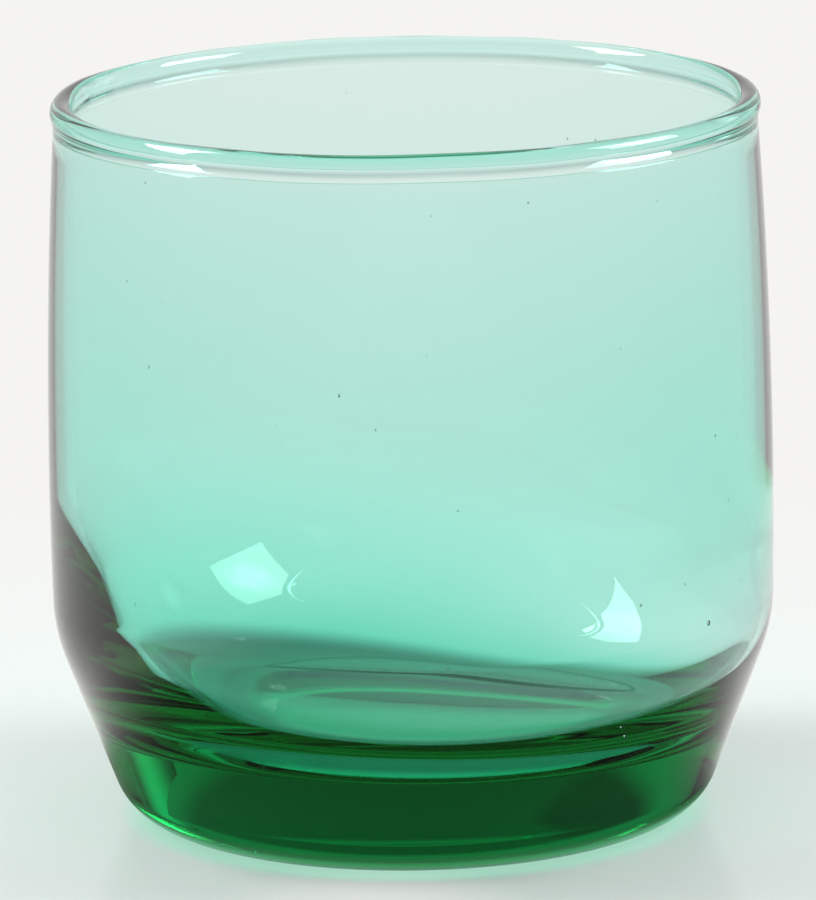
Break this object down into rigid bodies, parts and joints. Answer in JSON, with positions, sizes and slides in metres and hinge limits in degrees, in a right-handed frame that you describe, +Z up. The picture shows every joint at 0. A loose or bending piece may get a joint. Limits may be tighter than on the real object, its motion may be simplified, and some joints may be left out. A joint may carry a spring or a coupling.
{
  "type": "rocks glass",
  "caption": "Low green glass tumbler with a beaded rim, a slightly barrelled wall, a turned-in heel and a thick solid base, for drinks over ice.",
  "frame": {"origin": "middle of the foot, on the surface that the glass stands on", "axes": "+Z up along the axis of the glass, from the foot to the mouth; the glass is round, so X and Y are free"},
  "size_m": [0.082, 0.082, 0.0825],
  "materials": {
    "green_glass": "clear green soda-lime glass, gloss, fire-polished rim, a few seeds and fine scratches"
  },
  "bodies": {
    "root": {"rim_bead": "green_glass", "side_wall": "green_glass", "heel": "green_glass", "sham_base": "green_glass"}
  },
  "joints": []
}
